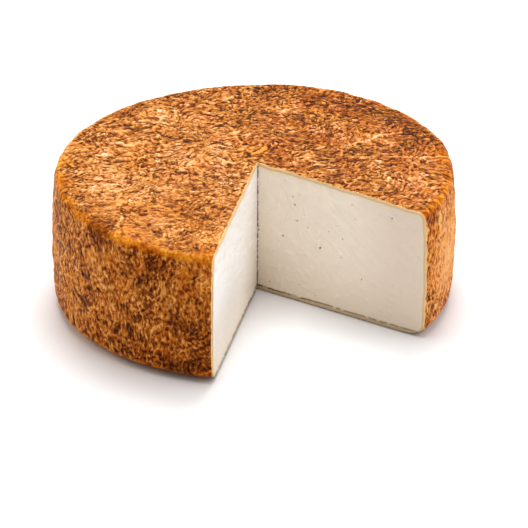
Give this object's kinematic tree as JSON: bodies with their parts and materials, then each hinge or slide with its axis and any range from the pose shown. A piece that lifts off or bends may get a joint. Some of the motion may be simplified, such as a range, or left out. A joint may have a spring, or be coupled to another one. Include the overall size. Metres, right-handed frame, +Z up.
{
  "type": "smoked goat tomme",
  "caption": "Low round wheel of smoked goat's milk cheese with a wrinkled brown rind and a wedge cut out, showing its white paste.",
  "frame": {"origin": "on the flat underside, below the middle of the wheel", "axes": "+Z up through the wheel; the missing wedge opens towards +X -Y, its corner 3.5 mm towards +Y from the Z axis"},
  "size_m": [0.2217, 0.2238, 0.0818],
  "materials": {
    "rind": "wrinkled smoked rind, orange brown with pale crests and dark grooves, faintly waxy",
    "paste": "cut white goat's milk paste, close and moist, with a few pinholes"
  },
  "bodies": {
    "root": {"cheese_wheel": "rind"}
  },
  "joints": []
}
